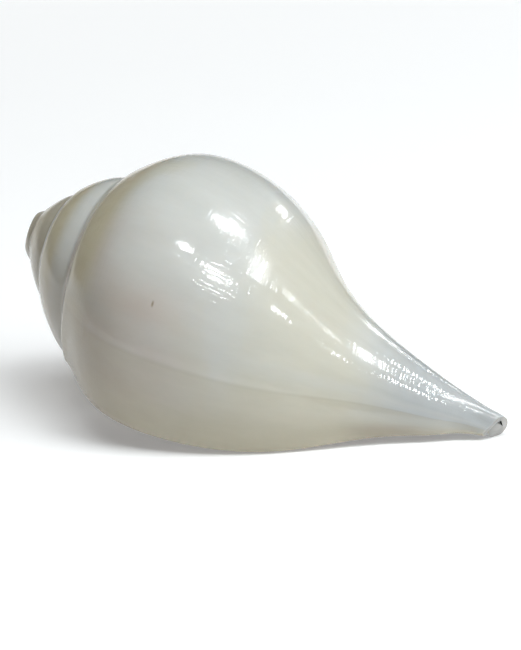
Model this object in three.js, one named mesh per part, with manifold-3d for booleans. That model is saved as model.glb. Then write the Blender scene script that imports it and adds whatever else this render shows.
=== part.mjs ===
// A chank shell: a heavy white sea snail shell with the point of its spire ground off,
// lying mouth down on its lip, its belly and the end of its canal.
//
// The shell is one outline swept round an axis. Each turn repeats the turn before it, enlarged by
// WHORL_GROWTH, so every whorl starts where it touches the whorl above it.
// Millimetres. While it is being made, the axis is Z, the spire points up, and depths are measured
// down from the point where the spire's sides meet. Turns are counted from the lip, negative inwards.
import * as THREE from 'three';
import Module from 'manifold-3d';
import { mergeVertices } from 'three/addons/utils/BufferGeometryUtils.js';

const wasm = await Module();
wasm.setup();

// Driving dimensions
const CANAL_END_DEPTH = 158.3;
const CANAL_END_RADIUS = 4.65;
const GROUND_TIP_DEPTH = 11.5;
const WHORL_GROWTH = 1.59;

// The outline at the lip, as the handles of a smooth curve: [depth, radius].
// Its first handle is worked out, because it lies where the whorl touches the one above it.
const OUTLINE = [
  [44.3, 30.4], // rim beside the suture
  [50.7, 36.2],
  [64.4, 45.6], // shoulder
  [87.6, 44.4], // widest part
  [108.8, 37.6],
  [122.8, 26.9],
  [133.6, 16.7], // the canal begins
  [152.6, 6.6],
  [CANAL_END_DEPTH, CANAL_END_RADIUS],
];
const OUTLINE_END = OUTLINE.length; // place of the canal's end along the outline
const TOUCH = 3.15; // place on the outline that the next whorl covers from

// The worn spire narrows faster than the growth makes it, and more so on one side.
const WORN_START = 9;
const WORN_REACH = 18.5;
const WORN_LEAN = 2.5;
const WORN_SIDE = -34; // degrees round the axis
const WORN_SHARE = 0.5;

// Towards the canal the whorls stop growing longer, and grow faster in width until near its end.
const LENGTH_FADE = [5.5, OUTLINE_END];
const WIDTH_RISE = [3.2, 8.3];
const WIDTH_EXTRA = 1.23;
const WIDTH_FALL = [8.2, OUTLINE_END];
const WIDTH_LOST = 0.76;

// The rear of the lip flares a little.
const LIP_FLARE = 1.5;
const LIP_FLARE_TURNS = 0.14;
const LIP_FLARE_PLACE = 1;

// The wall, and the hollow that the animal lived in
const WALL = 4.2;
const LIP_WALL = 3;
const CANAL_WALL = 1.8;
const GLAZE = 0.6; // callus over the whorl that the mouth faces
const HOLLOW_START = 0.07; // share of the way from the suture to the canal's end
const HOLLOW_END_INSIDE = 0.62;
const HOLLOW_TURNS = 1.75;
const CHANNEL_TURNS = 0.375; // how far round the canal its channel is open at the end
const LIP_TAPER_TURNS = 0.12;
const PLAITS = [0.5, 0.56, 0.62]; // ridges on the column inside the mouth
const PLAIT_HEIGHT = 1.8;
const PLAIT_HALF_WIDTH = 0.016;

// The ends
const CANAL_END_SLANT = 0.38; // the canal's end is slanted, and the lip's side is the shorter one
const CANAL_END_REACH = 16;
const CANAL_END_FLAT = 0.37; // how much of its radius is missing on its back
const CANAL_END_FLAT_SIDE = 60; // degrees round the axis
const CANAL_END_FLAT_HALF = 80;
const GROUND_TIP_TILT = 20; // degrees
const GROUND_TIP_TILT_DIRECTION = 40;
const BLOW_HOLE_RADIUS = 1.9;
const BLOW_HOLE_DEPTH = 9;

// How it lies, in degrees, and how much is rubbed flat where it touches the ground
const REST_SPIN = 63.9;
const REST_TILT = 15.2;
const RUBBED_FLAT = 0.25;

// Fineness of the facets
const ROWS_PER_TURN = 32;
const SPIRE_TURNS = 4;
const COLUMNS = { rim: 2, upper: 6, covered: 2, base: 20 };

function ease(low, high, x) {
  const s = THREE.MathUtils.clamp((x - low) / (high - low), 0, 1);
  return s ** 3 * (10 - 15 * s + 6 * s * s);
}

function bump(x) {
  return Math.cos(Math.min(Math.abs(x), 1) * Math.PI / 2) ** 2;
}

// A cubic B-spline through its end handles
function onCurve(handles, place) {
  const last = handles.length - 1;
  const before = handles[0].map((v, k) => 2 * v - handles[1][k]);
  const after = handles[last].map((v, k) => 2 * v - handles[last - 1][k]);
  const all = [before, ...handles, after];
  const i = Math.min(Math.floor(place), last - 1);
  const f = place - i;
  const weights = [
    (1 - f) ** 3 / 6,
    (3 * f ** 3 - 6 * f ** 2 + 4) / 6,
    (-3 * f ** 3 + 3 * f ** 2 + 3 * f + 1) / 6,
    f ** 3 / 6,
  ];
  return [0, 1].map((k) => weights.reduce((sum, w, j) => sum + w * all[i + j][k], 0));
}

const touchPoint = onCurve([[0, 0], ...OUTLINE], TOUCH).map((v) => v / WHORL_GROWTH);
const HANDLES = [touchPoint, ...OUTLINE];

// Depth and radius of the outer surface at a turn and a place on the outline
function whorl(turn, place) {
  const [depth, smoothRadius] = onCurve(HANDLES, place);
  const flare = LIP_FLARE * ease(-LIP_FLARE_TURNS, 0, turn) * bump((place - LIP_FLARE_PLACE) / LIP_FLARE_PLACE);
  const radius = smoothRadius + flare;
  const growth = WHORL_GROWTH ** turn;
  const length = 1 - ease(...LENGTH_FADE, place);
  const width = 1 + WIDTH_EXTRA * ease(...WIDTH_RISE, place) - WIDTH_LOST * ease(...WIDTH_FALL, place);
  return [depth * growth ** length, radius * growth ** width];
}

// Cosine of the angle round the axis from a side given in degrees
function towards(angle, side) {
  return Math.cos(angle - THREE.MathUtils.degToRad(side));
}

// A point of a turn's half plane, with the wear of the spire and the canal's flattened, slanted end
function inSpace(turn, [depth, fullRadius]) {
  const angle = -2 * Math.PI * turn;
  const reach = WORN_REACH + WORN_LEAN * towards(angle, WORN_SIDE);
  const worn = THREE.MathUtils.clamp(1 - (depth - WORN_START) / reach, 0, 1);
  const nearEnd = ease(CANAL_END_DEPTH - CANAL_END_REACH, CANAL_END_DEPTH, depth);
  const offFlat = Math.acos(towards(angle, CANAL_END_FLAT_SIDE)) / THREE.MathUtils.degToRad(CANAL_END_FLAT_HALF);
  const flat = CANAL_END_FLAT * bump(offFlat);
  const radius = fullRadius * (1 - WORN_SHARE * worn ** 1.5) * (1 - nearEnd * flat);
  const lift = nearEnd * CANAL_END_SLANT * radius * Math.cos(angle);
  return new THREE.Vector3(radius * Math.cos(angle), radius * Math.sin(angle), lift - depth);
}

// A rib runs across a turn's half plane from the whorl before it to the whorl itself.
// Its share is 0 at the suture and 1 at the canal's end.
function rib(turn, share) {
  const inner = whorl(turn - 1, TOUCH + (OUTLINE_END - TOUCH) * share);
  const outer = whorl(turn, OUTLINE_END * share);
  return { inner, outer, length: Math.hypot(outer[0] - inner[0], outer[1] - inner[1]) };
}

function alongRib({ inner, outer, length }, height) {
  const part = length > 0 ? height / length : 0;
  return [0, 1].map((k) => inner[k] + (outer[k] - inner[k]) * part);
}

function floorHeight(turn, share) {
  const inside = ease(0, 0.1, -turn);
  const ridges = PLAITS.reduce((sum, middle) => {
    const off = (share - middle + 0.25 * turn) / PLAIT_HALF_WIDTH;
    return sum + Math.exp(-off * off);
  }, 0);
  const growth = WHORL_GROWTH ** turn;
  return growth * (GLAZE * inside + PLAIT_HEIGHT * ridges * ease(0, 0.05, -turn));
}

function wallThickness(turn, share) {
  const body = THREE.MathUtils.lerp(LIP_WALL, WALL, ease(0, LIP_TAPER_TURNS, -turn));
  return WHORL_GROWTH ** turn * THREE.MathUtils.lerp(body, CANAL_WALL, ease(0.62, 0.9, share));
}

// The hollow reaches the canal's end only beside the mouth, and draws back inside the shell.
function hollowEnd(turn) {
  return THREE.MathUtils.lerp(1, HOLLOW_END_INSIDE, ease(CHANNEL_TURNS, CHANNEL_TURNS + 0.4, -turn));
}

function ceilingHeight(turn, share, along) {
  const { length } = rib(turn, share);
  const floor = floorHeight(turn, share);
  const room = Math.max(length - wallThickness(turn, share) - floor, 0.2 * (length - floor));
  const shut = 1 - ease(-CHANNEL_TURNS, -CHANNEL_TURNS + 0.15, turn);
  return floor + room * ease(0, 0.12, along) * (1 - shut * ease(0.85, 1, along));
}

function spread(low, high, count) {
  return Array.from({ length: count }, (_, k) => low + ((high - low) * k) / count);
}

// Places along the outline. The covered part of a whorl ends at TOUCH.
const rimEnd = OUTLINE_END * HOLLOW_START;
const coveredEnd = TOUCH + (OUTLINE_END - TOUCH) * HOLLOW_START;
const upperPlaces = [...spread(0, rimEnd, COLUMNS.rim), ...spread(rimEnd, TOUCH, COLUMNS.upper), TOUCH];
const lowerPlaces = [
  ...spread(TOUCH, coveredEnd, COLUMNS.covered),
  ...spread(coveredEnd, OUTLINE_END, COLUMNS.base),
  OUTLINE_END,
];
const places = [...upperPlaces, ...lowerPlaces.slice(1)];
const floorPlaces = lowerPlaces.slice(COLUMNS.covered);

function turnsBetween(first, last) {
  const count = Math.round((last - first) * ROWS_PER_TURN);
  return Array.from({ length: count + 1 }, (_, i) => last - (count - i) / ROWS_PER_TURN);
}

const corners = [];

function triangle(a, b, c) {
  const thin = a.distanceTo(b) < 1e-4 || b.distanceTo(c) < 1e-4 || c.distanceTo(a) < 1e-4;
  if (!thin) corners.push(a, b, c);
}

function surface(rows, facesOut) {
  for (let i = 0; i + 1 < rows.length; i += 1) {
    for (let k = 0; k + 1 < rows[i].length; k += 1) {
      const quad = [rows[i][k], rows[i + 1][k], rows[i + 1][k + 1], rows[i][k + 1]];
      const [a, b, c, d] = facesOut ? quad : quad.reverse();
      triangle(a, b, c);
      triangle(a, c, d);
    }
  }
}

// A flat or nearly flat face inside a closed loop, seen in the two directions given by flatten
function face(loop, flatten) {
  const flat = loop.map(flatten);
  const turnsLeft = THREE.ShapeUtils.area(flat) > 0;
  THREE.ShapeUtils.triangulateShape(flat, []).forEach((ids) => {
    const sameWay = THREE.ShapeUtils.area(ids.map((i) => flat[i])) > 0 === turnsLeft;
    const [a, b, c] = (sameWay ? ids : [...ids].reverse()).map((i) => loop[i]);
    triangle(a, b, c);
  });
}

function outerRows(turns, along) {
  return turns.map((turn) => along.map((place) => inSpace(turn, whorl(turn, place))));
}

function addSpire() {
  const turns = turnsBetween(-SPIRE_TURNS, -1);
  const rows = outerRows(turns, upperPlaces);
  surface(rows, true);
  const point = new THREE.Vector3(0, 0, 0);
  for (let i = 0; i < ROWS_PER_TURN; i += 1) triangle(point, rows[i + 1][0], rows[i][0]);
  for (let k = 0; k + 1 < rows[0].length; k += 1) triangle(point, rows[0][k], rows[0][k + 1]);
}

function addLastWhorl() {
  const hollowTurns = turnsBetween(-HOLLOW_TURNS, 0);
  const outer = outerRows(turnsBetween(-1, 0), places);
  surface(outer, true);

  const atShare = (turn, along) => HOLLOW_START + (hollowEnd(turn) - HOLLOW_START) * along;
  const floorAlong = floorPlaces.map((place) => (place - coveredEnd) / (OUTLINE_END - coveredEnd));
  const floor = hollowTurns.map((turn) => floorAlong.map((along) => {
    const share = atShare(turn, along);
    const height = turn === 0 ? 0 : floorHeight(turn, share);
    return inSpace(turn, alongRib(rib(turn, share), height));
  }));
  surface(floor, true);

  const ceilingPlaces = places.slice(COLUMNS.rim);
  const ceilingAlong = ceilingPlaces.map((place) => (place - rimEnd) / (OUTLINE_END - rimEnd));
  const ceiling = hollowTurns.map((turn) => ceilingAlong.map((along) => {
    const share = atShare(turn, along);
    return inSpace(turn, alongRib(rib(turn, share), ceilingHeight(turn, share, along)));
  }));
  surface(ceiling, false);

  // The lip's edge, from the outside of the wall to the inside
  const outside = outer.at(-1);
  const inside = [...outer[0].slice(upperPlaces.length - 1).slice(0, COLUMNS.rim), ...ceiling.at(-1)];
  surface([outside, inside], true);

  // The deep end of the hollow
  const inHalfPlane = (point) => new THREE.Vector2(point.z, Math.hypot(point.x, point.y));
  face([...floor[0], ...ceiling[0].slice(1, -1).reverse()], inHalfPlane);

  // The canal's end
  const openFrom = hollowTurns.length - 1 - Math.round(CHANNEL_TURNS * ROWS_PER_TURN);
  const channelRoof = ceiling.slice(openFrom + 1).map((row) => row.at(-1)).reverse();
  const channelFloor = floor.slice(openFrom, -1).map((row) => row.at(-1));
  const fromBelow = (point) => new THREE.Vector2(point.x, -point.y);
  face([...outer.map((row) => row.at(-1)), ...channelRoof, ...channelFloor], fromBelow);
}

function solidFrom(geometry) {
  const bare = geometry.clone();
  bare.deleteAttribute('normal');
  bare.deleteAttribute('uv');
  const merged = mergeVertices(bare, 1e-4);
  return new wasm.Manifold(new wasm.Mesh({
    numProp: 3,
    vertProperties: new Float32Array(merged.attributes.position.array),
    triVerts: new Uint32Array(merged.index.array),
  }));
}

function geometryFrom(solid) {
  const mesh = solid.getMesh();
  const geometry = new THREE.BufferGeometry();
  geometry.setAttribute('position', new THREE.BufferAttribute(mesh.vertProperties, 3));
  geometry.setIndex(new THREE.BufferAttribute(mesh.triVerts, 1));
  return geometry;
}

// The plane of the ground-off tip: its tools stand on it and point away from the shell.
function onGroundTip(geometry, offset) {
  const turned = THREE.MathUtils.degToRad(GROUND_TIP_TILT_DIRECTION);
  geometry.rotateX(Math.PI / 2).translate(0, 0, offset);
  geometry.applyMatrix4(new THREE.Matrix4().makeRotationAxis(
    new THREE.Vector3(-Math.sin(turned), Math.cos(turned), 0),
    THREE.MathUtils.degToRad(GROUND_TIP_TILT),
  ));
  return geometry.translate(0, 0, -GROUND_TIP_DEPTH);
}

function buildShell() {
  addSpire();
  addLastWhorl();
  const raw = new THREE.BufferGeometry().setFromPoints(corners);
  const block = 2 * CANAL_END_DEPTH;
  const aboveTip = onGroundTip(new THREE.BoxGeometry(block, block, block), block / 2);
  const hole = onGroundTip(new THREE.CylinderGeometry(BLOW_HOLE_RADIUS, BLOW_HOLE_RADIUS, 2 * BLOW_HOLE_DEPTH, 20), 0);
  const whole = solidFrom(raw).subtract(solidFrom(aboveTip)).subtract(solidFrom(hole));

  // Turned to lie on the ground, with the canal towards +X
  const lying = geometryFrom(whole);
  lying.rotateZ(THREE.MathUtils.degToRad(REST_SPIN));
  lying.rotateY(THREE.MathUtils.degToRad(90 - REST_TILT));
  lying.rotateZ(Math.PI);
  lying.computeBoundingBox();
  const ground = lying.boundingBox.min.z + RUBBED_FLAT;
  const below = new THREE.BoxGeometry(block, block, block).translate(0, 0, ground - block / 2);
  const rubbed = geometryFrom(solidFrom(lying).subtract(solidFrom(below)));

  // The origin is under the middle of the shell, on the ground
  rubbed.computeBoundingBox();
  const middle = rubbed.boundingBox.getCenter(new THREE.Vector3());
  return rubbed.translate(-middle.x, -middle.y, -rubbed.boundingBox.min.z);
}

const porcelain = new THREE.MeshStandardMaterial({ color: 0xd9d6cc, roughness: 0.22, metalness: 0 });
const shell = new THREE.Mesh(buildShell(), porcelain);
shell.name = 'shell';

const chank = new THREE.Group();
chank.add(shell);

export default chank;
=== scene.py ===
from math import radians

import bmesh
import bpy
import numpy as np
from mathutils import Matrix, Vector


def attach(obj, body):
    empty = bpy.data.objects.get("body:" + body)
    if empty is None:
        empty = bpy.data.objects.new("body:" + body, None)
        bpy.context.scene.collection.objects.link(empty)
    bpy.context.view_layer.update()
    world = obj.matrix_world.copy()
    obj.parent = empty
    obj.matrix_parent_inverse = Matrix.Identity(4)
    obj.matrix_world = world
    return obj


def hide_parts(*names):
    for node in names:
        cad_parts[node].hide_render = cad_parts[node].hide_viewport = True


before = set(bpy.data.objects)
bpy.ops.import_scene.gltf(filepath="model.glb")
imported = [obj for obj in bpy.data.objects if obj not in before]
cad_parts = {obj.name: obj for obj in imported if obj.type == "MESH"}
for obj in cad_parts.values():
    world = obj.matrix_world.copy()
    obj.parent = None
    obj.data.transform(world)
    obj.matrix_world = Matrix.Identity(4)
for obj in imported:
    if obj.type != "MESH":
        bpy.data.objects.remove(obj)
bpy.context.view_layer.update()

MM = 0.001

# The shell's shape, in millimetres, with its axis along Z and its spire up. Depths run down from
# the point where the spire's sides meet, and turns are counted from the lip, negative inwards.
CANAL_END_DEPTH = 158.3
WHORL_GROWTH = 1.59
OUTLINE = np.array([
    [44.3, 30.4],
    [50.7, 36.2],
    [64.4, 45.6],
    [87.6, 44.4],
    [108.8, 37.6],
    [122.8, 26.9],
    [133.6, 16.7],
    [152.6, 6.6],
    [CANAL_END_DEPTH, 4.65],
])
OUTLINE_END = len(OUTLINE)
TOUCH = 3.15
LENGTH_FADE = (5.5, OUTLINE_END)
WIDTH_RISE = (3.2, 8.3)
WIDTH_EXTRA = 1.23
WIDTH_FALL = (8.2, OUTLINE_END)
WIDTH_LOST = 0.76
WORN_START = 9
WORN_REACH = 18.5
WORN_LEAN = 2.5
WORN_SIDE = radians(-34)
WORN_SHARE = 0.5
WORN_POWER = 1.5
LIP_FLARE = 1.5
LIP_FLARE_TURNS = 0.14
LIP_FLARE_PLACE = 1

# Wall and hollow
WALL = 4.2
LIP_WALL = 3
CANAL_WALL = 1.8
CANAL_WALL_SHARES = (0.62, 0.9)
GLAZE = 0.6
GLAZE_FADE_TURNS = 0.1
HOLLOW_START = 0.07
HOLLOW_END_INSIDE = 0.62
HOLLOW_TURNS = 1.75
HOLLOW_DRAW_TURNS = 0.4
CHANNEL_TURNS = 0.375
CHANNEL_SHUT_TURNS = 0.15
CHANNEL_SHUT_FROM = 0.85
CEILING_RISE = 0.12
LEAST_ROOM = 0.2
LIP_TAPER_TURNS = 0.12
PLAITS = (0.5, 0.56, 0.62)
PLAIT_HEIGHT = 1.8
PLAIT_HALF_WIDTH = 0.016
PLAIT_DRIFT = 0.25
PLAIT_FADE_TURNS = 0.05
LIP_ROUND = 1.2
LIP_DRAW_TURNS = 0.3
LIP_DRAW_LEAST_RADIUS = 3

# Ends, and how it lies
CANAL_END_SLANT = 0.38
CANAL_END_REACH = 16
CANAL_END_FLAT = 0.37
CANAL_END_FLAT_SIDE = radians(60)
CANAL_END_FLAT_HALF = radians(80)
GROUND_TIP_DEPTH = 11.5
GROUND_TIP_TILT = radians(20)
GROUND_TIP_TILT_DIRECTION = radians(40)
GROUND_TIP_ROUND = 0.9
BLOW_HOLE_RADIUS = 1.9
BLOW_HOLE_DEPTH = 8
BLOW_HOLE_EDGE = (-0.35, 0.1)
REST_SPIN = radians(63.9)
REST_TILT = radians(15.2)
GROUND_PLACE = (81.901, -4.481, -43.759)
RUBBED_SOFTLY = 0.12

# Relief beside the suture: height, middle and half width along the outline. It starts at the
# suture, and falls to a share of its height towards the tip.
CORD = (0.38, 0.24, 0.22)
CORD_GROOVE = (-0.3, 0.85, 0.5)
RELIEF_START = (0, 0.1)
RELIEF_FADE = (-3.2, -1.6)
RELIEF_AT_TIP = 0.3

# The grid: rows in each turn, columns along the stretches of the outline, and the shares of the
# hollow's width between which the plaits have a finer grid
ROWS_PER_TURN = 208
SPIRE_TURNS = 6
HOLLOW_ROWS_PER_TURN = 96
LIP_EDGE_ROWS = 9
RIM_COLUMNS = 8
UPPER_COLUMNS = 18
BODY_COLUMNS = 22
PLAIT_COLUMNS = 46
CANAL_COLUMNS = 18
PLAIT_SHARES = (0.42, 0.72)

# The step along the outline that gives its slope, and in metres, how near points are made one
# and how short an edge is dissolved
PLACE_STEP = 1e-3
WELD_DISTANCE = 2e-7
LEAST_EDGE = 1e-8

# Turns over which the hollow takes its own colour, on its floor and on its ceiling
FLOOR_TINT_TURNS = (0, 0.25)
CEILING_TINT_TURNS = (-0.02, 0.25)


def ease(low, high, x):
    """A smooth step: 0 below low, 1 above high, and a fifth-power curve between them."""
    s = np.clip((x - low) / (high - low), 0, 1)
    return s**3 * (10 - 15 * s + 6 * s * s)


def hump(x):
    """A bump of height 1: the squared cosine of x, for x between -1 and 1, and 0 elsewhere."""
    return np.cos(np.clip(x, -1, 1) * np.pi / 2) ** 2


def on_curve(handles, place):
    """Cubic B-spline through its end handles: four weighted handles around each place."""
    padded = np.vstack([2 * handles[0] - handles[1], handles, 2 * handles[-1] - handles[-2]])
    place = np.asarray(place, float)
    i = np.clip(np.floor(place).astype(int), 0, len(handles) - 2)
    f = (place - i)[..., None]
    weights = (
        (1 - f) ** 3 / 6,
        (3 * f**3 - 6 * f**2 + 4) / 6,
        (-3 * f**3 + 3 * f**2 + 3 * f + 1) / 6,
        f**3 / 6,
    )
    return sum(w * padded[i + k] for k, w in enumerate(weights))


touch_point = on_curve(np.vstack([[0, 0], OUTLINE]), TOUCH) / WHORL_GROWTH
HANDLES = np.vstack([touch_point, OUTLINE])


def smooth_whorl(turn, place):
    """Depth and radius of the swept outline: each turn is the last one times a growth factor.

    The factor's power falls to 0 for the depth and rises for the radius towards the canal.
    """
    depth, radius = np.moveaxis(on_curve(HANDLES, place), -1, 0)
    flare = hump((place - LIP_FLARE_PLACE) / LIP_FLARE_PLACE)
    radius = radius + LIP_FLARE * ease(-LIP_FLARE_TURNS, 0, turn) * flare
    growth = WHORL_GROWTH**turn
    length = 1 - ease(*LENGTH_FADE, place)
    width = 1 + WIDTH_EXTRA * ease(*WIDTH_RISE, place) - WIDTH_LOST * ease(*WIDTH_FALL, place)
    return np.stack([depth * growth**length, radius * growth**width], -1)


def whorl(turn, place):
    """The smooth whorl, raised along its own normal by the cord and groove beside the suture."""
    turn, place = np.broadcast_arrays(np.asarray(turn, float), np.asarray(place, float))
    across = smooth_whorl(turn, place + PLACE_STEP) - smooth_whorl(turn, place - PLACE_STEP)
    normal = np.stack([-across[..., 1], across[..., 0]], -1)
    normal /= np.linalg.norm(normal, axis=-1, keepdims=True)
    height = sum(h * hump((place - middle) / half) for h, middle, half in (CORD, CORD_GROOVE))
    kept = RELIEF_AT_TIP + (1 - RELIEF_AT_TIP) * ease(*RELIEF_FADE, turn)
    height = height * ease(*RELIEF_START, place) * kept * WHORL_GROWTH**turn
    return smooth_whorl(turn, place) + normal * height[..., None]


def in_space(turn, depth_radius):
    """Turns a half plane's points round the axis, then wears the spire and shapes the canal's end.

    The spire's radius falls with the one and a half power of its nearness to the tip. The canal's
    end loses a hump's share of its radius on its back, and is slanted by its distance sideways.
    """
    depth, radius = np.moveaxis(depth_radius, -1, 0)
    angle = -2 * np.pi * turn
    reach = WORN_REACH + WORN_LEAN * np.cos(angle - WORN_SIDE)
    worn = np.clip(1 - (depth - WORN_START) / reach, 0, 1)
    near_end = ease(CANAL_END_DEPTH - CANAL_END_REACH, CANAL_END_DEPTH, depth)
    off_flat = np.arccos(np.clip(np.cos(angle - CANAL_END_FLAT_SIDE), -1, 1))
    flat = CANAL_END_FLAT * hump(off_flat / CANAL_END_FLAT_HALF)
    radius = radius * (1 - WORN_SHARE * worn**WORN_POWER) * (1 - near_end * flat)
    lift = near_end * CANAL_END_SLANT * radius * np.cos(angle)
    return np.stack([radius * np.cos(angle), radius * np.sin(angle), lift - depth], -1)


def soft_lower(a, b, width):
    """The smaller of a and b, blended with a parabola where they differ by less than width."""
    h = np.clip(0.5 + 0.5 * (b - a) / width, 0, 1)
    return a * h + b * (1 - h) - width * h * (1 - h)


def grind_tip(points):
    """Lowers every point above the ground tip's slanted plane onto it, and sinks the blow hole.

    Also gives each point's share of being on the ground face, from 0 to 1.
    """
    tilt = np.tan(GROUND_TIP_TILT) * np.array([
        np.cos(GROUND_TIP_TILT_DIRECTION),
        np.sin(GROUND_TIP_TILT_DIRECTION),
    ])
    fall = points[..., :2] @ tilt
    plane = -GROUND_TIP_DEPTH - fall
    from_middle = np.sqrt((points[..., :2] ** 2).sum(-1) + fall**2)
    height = soft_lower(points[..., 2], plane, GROUND_TIP_ROUND)
    on_tip = np.clip((points[..., 2] - plane) / GROUND_TIP_ROUND, 0, 1)
    hole = 1 - ease(*BLOW_HOLE_EDGE, from_middle - BLOW_HOLE_RADIUS)
    points = points.copy()
    points[..., 2] = height - BLOW_HOLE_DEPTH * hole * on_tip
    return points, on_tip


def rib_ends(turn, share):
    """Where a rib across the mouth's half plane meets the whorl before and the whorl itself."""
    inner = whorl(turn - 1, TOUCH + (OUTLINE_END - TOUCH) * share)
    outer = whorl(turn, OUTLINE_END * share)
    return inner, outer


def along_rib(turn, share, height):
    """A point at a height above the inner end, on the straight line to the outer end."""
    inner, outer = rib_ends(turn, share)
    length = np.linalg.norm(outer - inner, axis=-1)
    part = np.where(length > 0, height / np.maximum(length, 1e-9), 0)
    return inner + (outer - inner) * part[..., None]


def floor_height(turn, share):
    """Glaze on the inner whorl, plus ridges whose cross-section is a bell curve."""
    ridges = sum(
        np.exp(-(((share - middle + PLAIT_DRIFT * turn) / PLAIT_HALF_WIDTH) ** 2)) for middle in PLAITS
    )
    glaze = GLAZE * ease(0, GLAZE_FADE_TURNS, -turn)
    plaits = PLAIT_HEIGHT * ridges * ease(0, PLAIT_FADE_TURNS, -turn)
    return WHORL_GROWTH**turn * (glaze + plaits)


def wall_thickness(turn, share):
    """Grows from the lip inwards, and thins towards the canal."""
    body = LIP_WALL + (WALL - LIP_WALL) * ease(0, LIP_TAPER_TURNS, -turn)
    return WHORL_GROWTH**turn * (body + (CANAL_WALL - body) * ease(*CANAL_WALL_SHARES, share))


def hollow_share(turn, along):
    """Stretches the ribs from the suture side to the canal, and draws back inside the shell."""
    drawn = ease(CHANNEL_TURNS, CHANNEL_TURNS + HOLLOW_DRAW_TURNS, -turn)
    end = 1 + (HOLLOW_END_INSIDE - 1) * drawn
    return HOLLOW_START + (end - HOLLOW_START) * along


def ceiling_height(turn, share, along):
    """The outer whorl less the wall, closed on the floor at the suture and deep in the canal."""
    inner, outer = rib_ends(turn, share)
    length = np.linalg.norm(outer - inner, axis=-1)
    floor = floor_height(turn, share)
    room = np.maximum(length - wall_thickness(turn, share) - floor, LEAST_ROOM * (length - floor))
    shut = 1 - ease(-CHANNEL_TURNS, -CHANNEL_TURNS + CHANNEL_SHUT_TURNS, turn)
    open_share = 1 - shut * ease(CHANNEL_SHUT_FROM, 1, along)
    return floor + room * ease(0, CEILING_RISE, along) * open_share


def lip_draw(turn, place):
    """Turns by which a row near the lip draws back, to leave room for the lip's round edge."""
    fade = ease(RIM_END, RIM_END + 1, place) * ease(-LIP_DRAW_TURNS, 0, turn)
    radius = np.maximum(smooth_whorl(0 * place, place)[..., 1], LIP_DRAW_LEAST_RADIUS)
    return fade * LIP_ROUND / (2 * np.pi * radius)


def spread(*stretches):
    """Places along the outline: evenly spaced inside each (start, end, count) stretch."""
    return np.concatenate([np.linspace(a, b, n, endpoint=False) for a, b, n in stretches])


RIM_END = OUTLINE_END * HOLLOW_START
COVERED_END = TOUCH + (OUTLINE_END - TOUCH) * HOLLOW_START
plaits_start, plaits_end = (TOUCH + (OUTLINE_END - TOUCH) * share for share in PLAIT_SHARES)
upper_places = np.append(spread(
    (0, RIM_END, RIM_COLUMNS),
    (RIM_END, TOUCH, UPPER_COLUMNS),
), TOUCH)
lower_places = np.append(spread(
    (TOUCH, COVERED_END, RIM_COLUMNS),
    (COVERED_END, plaits_start, BODY_COLUMNS),
    (plaits_start, plaits_end, PLAIT_COLUMNS),
    (plaits_end, OUTLINE_END, CANAL_COLUMNS),
), OUTLINE_END)
all_places = np.append(upper_places, lower_places[1:])


def turns_between(first, last, rows_per_turn):
    """Evenly spaced turns that end at the last one."""
    count = round((last - first) * rows_per_turn)
    return last - np.arange(count, -1, -1) / rows_per_turn


class Patches:
    """Grids of points that share their edges, gathered into one closed skin.

    Each point has its (turn, place) as UV and its (hollow, cut, 0) as zone.
    """

    def __init__(self):
        self.points, self.faces, self.uvs, self.zones = [], [], [], []
        self.count = 0

    def add(self, points, uv, zone, faces_out=True):
        """Adds a grid of points, whose faces look out as they are or when turned over."""
        rows, columns = points.shape[:2]
        ids = self.count + np.arange(rows * columns).reshape(rows, columns)
        quads = np.stack([ids[:-1, :-1], ids[1:, :-1], ids[1:, 1:], ids[:-1, 1:]], -1).reshape(-1, 4)
        self.faces.append(quads if faces_out else quads[:, ::-1])
        self.points.append(points.reshape(-1, 3))
        self.uvs.append(np.broadcast_to(uv, (rows, columns, 2)).reshape(-1, 2))
        self.zones.append(np.broadcast_to(zone, (rows, columns, 3)).reshape(-1, 3))
        self.count += rows * columns

    def mesh(self, name):
        """Joins the patches where their edges coincide, and closes the loops that are left as cuts."""
        points = np.concatenate(self.points)
        faces = np.concatenate(self.faces)
        mesh = bpy.data.meshes.new(name)
        mesh.from_pydata(points.tolist(), [], faces.tolist())
        corners = faces.ravel()
        uv_map = mesh.uv_layers.new(name="growth")
        uv_map.data.foreach_set("uv", np.concatenate(self.uvs)[corners].ravel().astype(np.float32))
        zones = mesh.attributes.new("zones", "FLOAT_COLOR", "CORNER")
        colours = np.ones((len(corners), 4), np.float32)
        colours[:, :3] = np.concatenate(self.zones)[corners]
        zones.data.foreach_set("color", colours.ravel())
        skin = bmesh.new()
        skin.from_mesh(mesh)
        bmesh.ops.remove_doubles(skin, verts=skin.verts, dist=WELD_DISTANCE)
        bmesh.ops.dissolve_degenerate(skin, edges=skin.edges, dist=LEAST_EDGE)
        for face in skin.faces:
            face.smooth = True
        open_edges = [e for e in skin.edges if e.is_boundary]
        caps = bmesh.ops.holes_fill(skin, edges=open_edges, sides=0)["faces"]
        layer = skin.loops.layers.float_color["zones"]
        for corner in (corner for face in caps for corner in face.loops):
            corner[layer] = (0, 1, 0, 1)
        skin.to_mesh(mesh)
        skin.free()
        return mesh


def to_row_frame(points):
    """Turns the shell to lie on its mouth, sets it on the ground, and works in metres.

    What would reach below the ground is rubbed off: a height h becomes w log(1 + exp(h / w)),
    where w is RUBBED_SOFTLY.
    """
    turn = (
        Matrix.Rotation(np.pi, 3, "Z")
        @ Matrix.Rotation(np.pi / 2 - REST_TILT, 3, "Y")
        @ Matrix.Rotation(REST_SPIN, 3, "Z")
    )
    placed = points @ np.array(turn).T - np.array(GROUND_PLACE)
    placed[..., 2] = RUBBED_SOFTLY * np.logaddexp(0, placed[..., 2] / RUBBED_SOFTLY)
    return placed * MM


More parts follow.
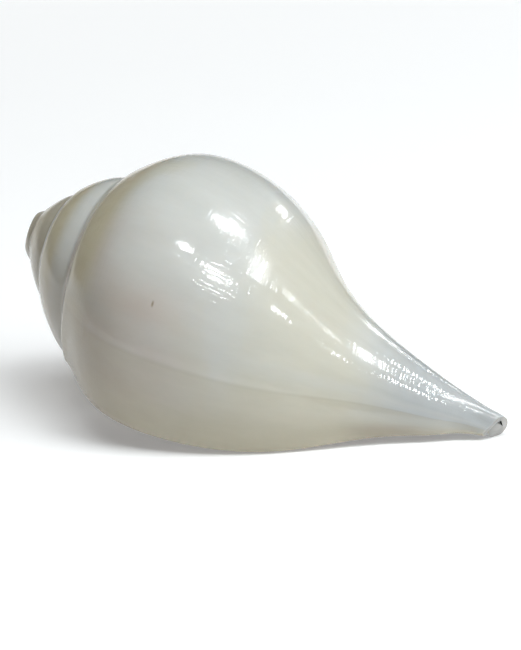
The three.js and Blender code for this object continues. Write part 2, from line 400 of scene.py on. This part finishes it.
def make_shell():
    """The whole shell as one closed skin: spire, last whorl, lip, floor and ceiling of the hollow."""
    skin = Patches()

    def add(turn, place, depth_radius, zone, faces_out=True):
        """Adds a patch to the skin, and gives its points as they are about the shell's own axis."""
        turn, place = np.broadcast_arrays(turn, place)
        points, on_tip = grind_tip(in_space(turn, depth_radius))
        uv = np.stack([turn, place], -1)
        zone = np.stack(np.broadcast_arrays(zone, on_tip, 0), -1)
        skin.add(to_row_frame(points), uv, zone, faces_out)
        return points

    spire_turns = turns_between(-SPIRE_TURNS, -1, ROWS_PER_TURN)[:, None]
    add(spire_turns, upper_places, whorl(spire_turns, upper_places), 0)

    turns = turns_between(-1, 0, ROWS_PER_TURN)[:, None]
    turns = turns - lip_draw(turns, all_places)
    outer = add(turns, all_places, whorl(turns, all_places), 0)

    hollow_turns = turns_between(-HOLLOW_TURNS, 0, HOLLOW_ROWS_PER_TURN)[:, None]
    floor_places = lower_places[RIM_COLUMNS:]
    along = (floor_places - COVERED_END) / (OUTLINE_END - COVERED_END)
    share = hollow_share(hollow_turns, along)
    height = floor_height(hollow_turns, share) * (hollow_turns < 0)
    points = along_rib(hollow_turns, share, height)
    add(hollow_turns, floor_places, points, ease(*FLOOR_TINT_TURNS, -hollow_turns))

    ceiling_places = all_places[RIM_COLUMNS:]
    along = (ceiling_places - RIM_END) / (OUTLINE_END - RIM_END)
    turns = hollow_turns - lip_draw(hollow_turns, ceiling_places)
    share = hollow_share(turns, along)
    points = along_rib(turns, share, ceiling_height(turns, share, along))
    tinted_by = ease(*CEILING_TINT_TURNS, -turns)
    ceiling = add(turns, ceiling_places, points, tinted_by, faces_out=False)

    # The lip's edge is half of an ellipse between the outside and the inside of the wall.
    outside = outer[-1]
    covered = outer[0, len(upper_places) - 1:][:RIM_COLUMNS]
    inside = np.concatenate([covered, ceiling[-1]])
    middle = (outside + inside) / 2
    bulge = LIP_ROUND * ease(RIM_END, RIM_END + 1, all_places)
    forwards = np.array([0, -1, 0])
    round_by = np.linspace(0, np.pi, LIP_EDGE_ROWS)[:, None, None]
    edge = middle + (outside - middle) * np.cos(round_by)
    edge = edge + forwards * bulge[:, None] * np.sin(round_by)
    uv = np.stack(np.broadcast_arrays(0 * round_by[..., 0], all_places), -1)
    skin.add(to_row_frame(edge), uv, (0, 0, 0))
    return skin.mesh("shell_skin")


def node(tree, kind, inputs=None, **settings):
    """Adds a shader node, with its settings and its input values or links."""
    made = tree.nodes.new(kind)
    for key, value in settings.items():
        setattr(made, key, value)
    for key, value in (inputs or {}).items():
        if isinstance(value, bpy.types.NodeSocket):
            tree.links.new(value, made.inputs[key])
        else:
            made.inputs[key].default_value = value
    return made


def mix(tree, share, first, second, blend="MIX"):
    """Blends two colours, each a socket or a value, by a share that is a socket or a value."""
    ends = [c if isinstance(c, bpy.types.NodeSocket) else (*c, 1) for c in (first, second)]
    inputs = {0: share, 6: ends[0], 7: ends[1]}
    return node(tree, "ShaderNodeMix", inputs, data_type="RGBA", blend_type=blend).outputs[2]


def maths(tree, operation, *values):
    """Adds a Math node on up to three values, each a socket or a number."""
    return node(tree, "ShaderNodeMath", dict(enumerate(values)), operation=operation).outputs[0]


def slope(tree, value, low, high):
    """A smooth rise from 0 at low to 1 at high, or a fall where low is the larger one."""
    ends = (low, high, 0, 1) if low < high else (high, low, 1, 0)
    inputs = dict(zip(("Value", "From Min", "From Max", "To Min", "To Max"), (value, *ends)))
    made = node(tree, "ShaderNodeMapRange", inputs, interpolation_type="SMOOTHERSTEP")
    return made.outputs["Result"]


def near(tree, value, middle, reach):
    """One where a value equals the middle, falling smoothly to zero at reach to either side."""
    offset = maths(tree, "ABSOLUTE", maths(tree, "SUBTRACT", value, middle))
    return slope(tree, offset, reach, 0)


def noise(tree, vector, scale, detail=2, roughness=0.5, distortion=0):
    """A cloudy value around a half, with scale cells to each unit of the vector."""
    inputs = {
        "Vector": vector,
        "Scale": scale,
        "Detail": detail,
        "Roughness": roughness,
        "Distortion": distortion,
    }
    return node(tree, "ShaderNodeTexNoise", inputs).outputs["Fac"]


def stretched(tree, vector, amounts):
    """A vector times an amount for each axis."""
    return node(tree, "ShaderNodeMapping", {"Vector": vector, "Scale": amounts}).outputs["Vector"]


# Colours of the shell, as they are under white light
IVORY = (0.53, 0.535, 0.505)
YELLOWISH = (0.525, 0.51, 0.435)
TAUPE = (0.485, 0.43, 0.38)
OLIVE_CREAM = (0.42, 0.385, 0.29)
SUTURE_OLIVE = (0.505, 0.455, 0.325)
BLUISH = (0.44, 0.455, 0.455)
# A stain colour, also laid on as painted shade on the low left and along the lip
STAIN_AND_PAINTED_SHADE = (0.27, 0.225, 0.165)
PEACH = (0.66, 0.46, 0.35)
CUT_GREY = (0.36, 0.355, 0.335)

# The turn of the line where growth once stopped, and the turn and place of a short dark mark
GROWTH_STOP = -0.083
MARK = (-0.1355, 3.71)

# Tints in the order they are laid on: the tone, its strength, and the areas that it keeps to. An
# area is a slope between two values of a measure, or what is near a value, within a reach.
TINTS_UNDER_BANDS = [
    # Clouds on the last whorl, the middle of its front, and its shoulder
    (YELLOWISH, 1, (slope, "clouds", 0.48, 0.66), (slope, "turn", -0.75, -0.4)),
    (TAUPE, 1, (slope, "place", 5.0, 3.2), (slope, "turn", -0.26, -0.12), (slope, "drifts", 0.2, 0.5)),
    (YELLOWISH, 1, (slope, "place", 4.3, 5.3), (slope, "place", 7.2, 6.1), (slope, "drifts", 0.2, 0.6)),
    # The canal, the spire, and the band below the suture
    (BLUISH, 1, (slope, "place", 6.4, 7.6)),
    (OLIVE_CREAM, 0.8, (slope, "turn", -1.5, -2.3)),
    (STAIN_AND_PAINTED_SHADE, 0.25, (slope, "turn", -1.5, -2.3)),
    (SUTURE_OLIVE, 1, (slope, "place", 2.9, 2.0), (slope, "place", 0.6, 1.2)),
    # What grew last, the lip, and the canal's edge beside the lip. The lip and that edge lie lowest, by
    # the table: their darker olive is partly their own colour and partly painted shade.
    (OLIVE_CREAM, 0.4, (slope, "turn", GROWTH_STOP - 0.003, GROWTH_STOP + 0.003)),
    (OLIVE_CREAM, 0.8, (slope, "turn", -0.07, -0.01)),
    (STAIN_AND_PAINTED_SHADE, 0.5, (slope, "turn", -0.06, -0.02), (near, "place", 7.1, 1.0)),
    # The lighter band before growth stopped, and the line where it did
    (IVORY, 0.35, (near, "turn", GROWTH_STOP - 0.025, 0.02)),
    (STAIN_AND_PAINTED_SHADE, 0.12, (near, "turn", GROWTH_STOP, 0.004)),
]
TINTS_OVER_BANDS = [
    # Painted shade on the low left, the side away from the lamps and near the table, and the short dark
    # mark
    (STAIN_AND_PAINTED_SHADE, 0.6, (slope, "along", 0, -0.034), (slope, "height", 0.054, 0.028)),
    (STAIN_AND_PAINTED_SHADE, 1, (near, "turn", MARK[0], 0.005), (near, "place", MARK[1], 0.026)),
]

# Clouds and drifts: cells in a metre, detail, and for clouds roughness and distortion too. Drifts
# are also drawn in upwards.
CLOUDS = (24, 3, 0.5, 0.4)
DRIFTS = (17, 2)
DRIFT_STRETCH = (1, 1, 1.6)

# Bands of growth: cells in a turn and along the outline, their scale, detail and roughness, and
# strength
BAND_CELLS = (46, 1.1, 1)
BAND_NOISE = (1, 3, 0.6)
BAND_STRENGTH = 0.16

# The peach of the hollow, and the places over which it fades towards the canal's end
PEACH_STRENGTH = 0.9
PEACH_PLACES = (8.2, 7.2)


def tinted(tree, colour, tints, measures):
    """Lays tints over a colour, each by its strength times the product of its areas."""
    for tone, strength, *areas in tints:
        share = strength
        for shape, measure, start, end in areas:
            share = maths(tree, "MULTIPLY", share, shape(tree, measures[measure], start, end))
        colour = mix(tree, share, colour, tone)
    return colour


def shell_colour(tree, uv, turn, place, where, hollow, cut):
    """Ivory with soft tints, bands of growth, painted shade on the low left and along the lip, a peach
    hollow, and grey where the shell is cut.
    """
    along, _, height = node(tree, "ShaderNodeSeparateXYZ", {"Vector": where}).outputs
    measures = {
        "turn": turn,
        "place": place,
        "along": along,
        "height": height,
        "clouds": noise(tree, where, *CLOUDS),
        "drifts": noise(tree, stretched(tree, where, DRIFT_STRETCH), *DRIFTS),
    }
    colour = tinted(tree, IVORY, TINTS_UNDER_BANDS, measures)
    bands = noise(tree, stretched(tree, uv, BAND_CELLS), *BAND_NOISE)
    bands = mix(tree, bands, (0, 0, 0), (1, 1, 1))
    colour = mix(tree, BAND_STRENGTH, colour, bands, blend="SOFT_LIGHT")
    colour = tinted(tree, colour, TINTS_OVER_BANDS, measures)
    peach = maths(tree, "MULTIPLY", hollow, slope(tree, place, *PEACH_PLACES))
    colour = mix(tree, maths(tree, "MULTIPLY", peach, PEACH_STRENGTH), colour, PEACH)
    return mix(tree, cut, colour, CUT_GREY)


# What the polishing left, with depths in metres. Swells and ripples: cells in a metre, detail and
# depth. Bristles: cells in a turn and along the outline, and depth.
SWELLS = (60, 1, 0.00015)
RIPPLES = (190, 2, 0.00002)
BRISTLES = ((20, 22, 1), 0.00005)
CANAL_BRISTLES = ((7, 36, 1), 0.00014)
CANAL_BRISTLE_PLACES = (6, 7.5)

# Scratches: cells, and how near to a half the noise is in a scratch. Those round about are on one
# spot of the front and in patches, and those lengthwise in other patches, above the canal. For
# patches: cells in a metre, and the values of the noise between which they start.
SCRATCH_DEPTH = 0.000035
ROUND_SCRATCHES = ((8, 11, 1), 0.06)
ROUND_SPOT_TURN = (-0.24, 0.07)
ROUND_SPOT_PLACE = (4.6, 1.2)
ROUND_PATCHES = (52, 0.42, 0.62)
LONG_SCRATCHES = ((130, 1.6, 1), 0.1)
LONG_TURNS = (-1, -0.6)
LONG_PLACES = (6, 5)
LONG_PATCHES = (47, 0.4, 0.6)


def grain(tree, uv, cells):
    """Noise with cells drawn out along the turns or along the outline."""
    return noise(tree, stretched(tree, uv, cells), 1, 1)


def scratches(tree, uv, cells, reach):
    """Thin lines where a drawn out noise passes a half."""
    return near(tree, grain(tree, uv, cells), 0.5, reach)


def patches(tree, where, scale, low, high):
    """Soft patches where a noise is above some value."""
    return slope(tree, noise(tree, where, scale, 1), low, high)


def raised(tree, height, pattern, depth):
    """A height plus a pattern times a depth."""
    return maths(tree, "MULTIPLY_ADD", pattern, depth, height)


def bumped(tree, height):
    """The surface's normal, bent by a height in metres."""
    return node(tree, "ShaderNodeBump", {"Height": height, "Distance": 1.0}).outputs["Normal"]


def polish(tree, uv, turn, place, where):
    """Normals for the shell and for its gloss, which alone shows the bristles and scratches."""
    height = 0
    for scale, detail, depth in (SWELLS, RIPPLES):
        height = raised(tree, height, noise(tree, where, scale, detail), depth)
    even = bumped(tree, height)

    cells, depth = BRISTLES
    height = raised(tree, height, grain(tree, uv, cells), depth)
    cells, depth = CANAL_BRISTLES
    depth = maths(tree, "MULTIPLY", slope(tree, place, *CANAL_BRISTLE_PLACES), depth)
    height = raised(tree, height, grain(tree, uv, cells), depth)

    spot = near(tree, turn, *ROUND_SPOT_TURN), near(tree, place, *ROUND_SPOT_PLACE)
    rubbed = maths(tree, "MAXIMUM", maths(tree, "MULTIPLY", *spot), patches(tree, where, *ROUND_PATCHES))
    round_about = maths(tree, "MULTIPLY", scratches(tree, uv, *ROUND_SCRATCHES), rubbed)
    height = raised(tree, height, round_about, -SCRATCH_DEPTH)

    rubbed = maths(tree, "MULTIPLY", slope(tree, turn, *LONG_TURNS), slope(tree, place, *LONG_PLACES))
    rubbed = maths(tree, "MULTIPLY", patches(tree, where, *LONG_PATCHES), rubbed)
    lengthwise = maths(tree, "MULTIPLY", scratches(tree, uv, *LONG_SCRATCHES), rubbed)
    height = raised(tree, height, lengthwise, -SCRATCH_DEPTH)
    return even, bumped(tree, height)


# The finish: the roughness under the gloss, what is added where it is worn and cut, the noise and
# its values that say where it is worn, and the gloss with what is added on the canal
ROUGHNESS = 0.18
ROUGHNESS_WORN = 0.08
ROUGHNESS_CUT = 0.3
WORN_NOISE = (90, 3, 0.6)
WORN_VALUES = (0.35, 0.7)
GLOSS = 0.5
GLOSS_ON_CANAL = 0.4
GLOSS_PLACES = (6.6, 7.5)


def polished_shell():
    """White shell, hand polished: its colours, a clear gloss, and fine scratches that break it up."""
    material = bpy.data.materials.new("polished_shell")
    material.use_nodes = True
    tree = material.node_tree
    shader = tree.nodes["Principled BSDF"]
    uv = node(tree, "ShaderNodeUVMap", uv_map="growth").outputs["UV"]
    turn, place, _ = node(tree, "ShaderNodeSeparateXYZ", {"Vector": uv}).outputs
    where = node(tree, "ShaderNodeTexCoord").outputs["Object"]
    zones = node(tree, "ShaderNodeAttribute", attribute_name="zones").outputs["Color"]
    hollow, cut, _ = node(tree, "ShaderNodeSeparateColor", {"Color": zones}).outputs

    colour = shell_colour(tree, uv, turn, place, where, hollow, cut)
    even, marked = polish(tree, uv, turn, place, where)
    worn = slope(tree, noise(tree, where, *WORN_NOISE), *WORN_VALUES)
    roughness = maths(tree, "MULTIPLY_ADD", worn, ROUGHNESS_WORN, ROUGHNESS)
    roughness = maths(tree, "MULTIPLY_ADD", cut, ROUGHNESS_CUT, roughness)
    gloss = maths(tree, "MULTIPLY_ADD", slope(tree, place, *GLOSS_PLACES), GLOSS_ON_CANAL, GLOSS)
    tree.links.new(colour, shader.inputs["Base Color"])
    tree.links.new(even, shader.inputs["Normal"])
    tree.links.new(marked, shader.inputs["Coat Normal"])
    tree.links.new(roughness, shader.inputs["Roughness"])
    tree.links.new(gloss, shader.inputs["Coat Weight"])
    shader.inputs["Coat Roughness"].default_value = 0.05
    shader.inputs["Coat IOR"].default_value = 1.7
    shader.inputs["Specular IOR Level"].default_value = 0.15
    shader.inputs["Subsurface Weight"].default_value = 0.25
    shader.inputs["Subsurface Radius"].default_value = (1.0, 0.75, 0.55)
    shader.inputs["Subsurface Scale"].default_value = 0.002
    return material


# The table, in metres: its side, its glow near the shell and far from it, and where that changes
TABLE_SIZE = 8
GLOW_NEAR = 0.25
GLOW_FAR = 0.85
GLOW_DISTANCES = (0.1, 1.2)


def floor_material():
    """Matt white, with a glow of its own that grows away from the shell as the lamps' light fades."""
    material = bpy.data.materials.new("white_table")
    material.use_nodes = True
    tree = material.node_tree
    shader = tree.nodes["Principled BSDF"]
    shader.inputs["Base Color"].default_value = (0.8, 0.8, 0.8, 1)
    shader.inputs["Roughness"].default_value = 0.9
    shader.inputs["Emission Color"].default_value = (1, 1, 1, 1)
    where = node(tree, "ShaderNodeTexCoord").outputs["Object"]
    away = node(tree, "ShaderNodeVectorMath", {"Vector": where}, operation="LENGTH").outputs["Value"]
    far = slope(tree, away, *GLOW_DISTANCES)
    glow = maths(tree, "MULTIPLY_ADD", far, GLOW_FAR - GLOW_NEAR, GLOW_NEAR)
    tree.links.new(glow, shader.inputs["Emission Strength"])
    return material


# The lamps stand round the shell at this distance, and look at this point.
LAMP_DISTANCE = 1.2
LAMP_AIM = Vector((0, 0, 0.035))

# Azimuth and elevation in degrees, width and height in metres, turn in degrees, power in watts.
# The lamps are only seen in the gloss, and the fills only light the shell and the table.
LAMPS = {
    "tall_lamp": (145, 71.5, 0.18, 0.24, 0, 4.2),
    "side_lamp": (101.5, 58, 0.36, 0.10, -3, 3.8),
    "front_lamp": (38.5, 59.5, 0.20, 0.13, -22, 3.8),
    "small_lamp": (5, 71, 0.11, 0.09, -49, 1.2),
    "back_lamp": (181, 23.5, 0.04, 0.26, 44, 0.5),
    "low_lamp": (81, 41.5, 0.08, 0.05, 29, 0.5),
    "low_side_lamp": (108.5, 43, 0.16, 0.05, -22, 0.35),
}
FILLS = {
    "window": (92, 35, 0.8, 0.8, 0, 9),
    "skylight": (20, 84, 0.8, 0.8, 0, 7.7),
    "cluster": (85, 64, 0.5, 0.5, 0, 5.5),
}
WINDOW_TINT = (0.94, 0.98, 1.0)
WORLD_TINT = (1, 0.94, 0.85)
WORLD_STRENGTH = 0.06

# The camera: its direction as angles round the shell, and the lean of the picture
CAMERA_TARGET = Vector((-0.0013, 0.0064, 0.0216))
CAMERA_AZIMUTH = radians(36.71)
CAMERA_ELEVATION = radians(17.28)
CAMERA_DISTANCE = 1.959
CAMERA_LEAN = radians(5.48)
CAMERA_LENS = 422.0
SENSOR_HEIGHT = 36.0


def add_facing(name, data, aim, azimuth, elevation, distance, turned):
    """Adds a lamp or camera at a distance from its aim, which faces it and is turned about that line.

    The azimuth goes from the front to the right, and the elevation up.
    """
    made = bpy.data.objects.new(name, data)
    out = Vector((
        np.sin(azimuth) * np.cos(elevation),
        -np.cos(azimuth) * np.cos(elevation),
        np.sin(elevation),
    ))
    facing = out.to_track_quat("Z", "Y").to_matrix() @ Matrix.Rotation(turned, 3, "Z")
    made.matrix_world = Matrix.Translation(aim + out * distance) @ facing.to_4x4()
    bpy.context.scene.collection.objects.link(made)
    return made


def add_lamp(name, azimuth, elevation, width, height, turned, power, in_gloss):
    """An area lamp at the lamps' distance, which either shows in the gloss or lights the rest."""
    lamp = bpy.data.lights.new(name, "AREA")
    lamp.shape = "RECTANGLE"
    lamp.size = width
    lamp.size_y = height
    lamp.energy = power
    lamp.color = WINDOW_TINT
    angles = radians(azimuth), radians(elevation)
    holder = add_facing(name, lamp, LAMP_AIM, *angles, LAMP_DISTANCE, radians(turned))
    holder.visible_glossy = in_gloss
    holder.visible_diffuse = not in_gloss


def add_camera():
    """The camera that sees the shell as the photograph shows it."""
    lens = bpy.data.cameras.new("camera")
    lens.sensor_fit = "VERTICAL"
    lens.sensor_height = SENSOR_HEIGHT
    lens.lens = CAMERA_LENS
    angles = CAMERA_AZIMUTH, CAMERA_ELEVATION
    camera = add_facing("camera", lens, CAMERA_TARGET, *angles, CAMERA_DISTANCE, -CAMERA_LEAN)
    bpy.context.scene.camera = camera


def add_world():
    """A faint warm light from all around."""
    world = bpy.data.worlds.new("studio")
    world.use_nodes = True
    background = world.node_tree.nodes["Background"]
    background.inputs["Color"].default_value = (*WORLD_TINT, 1)
    background.inputs["Strength"].default_value = WORLD_STRENGTH
    bpy.context.scene.world = world


add_camera()

shell = bpy.data.objects.new("chank_shell", make_shell())
bpy.context.scene.collection.objects.link(shell)
shell.data.materials.append(polished_shell())
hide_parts("shell")
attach(shell, "root")

bpy.ops.mesh.primitive_plane_add(size=TABLE_SIZE, location=(0, 0, 0))
table = bpy.context.object
table.name = "table_top"
table.data.materials.append(floor_material())

add_world()
for name, row in LAMPS.items():
    add_lamp(name, *row, in_gloss=True)
for name, row in FILLS.items():
    add_lamp(name, *row, in_gloss=False)
bpy.context.scene.view_settings.view_transform = "Standard"
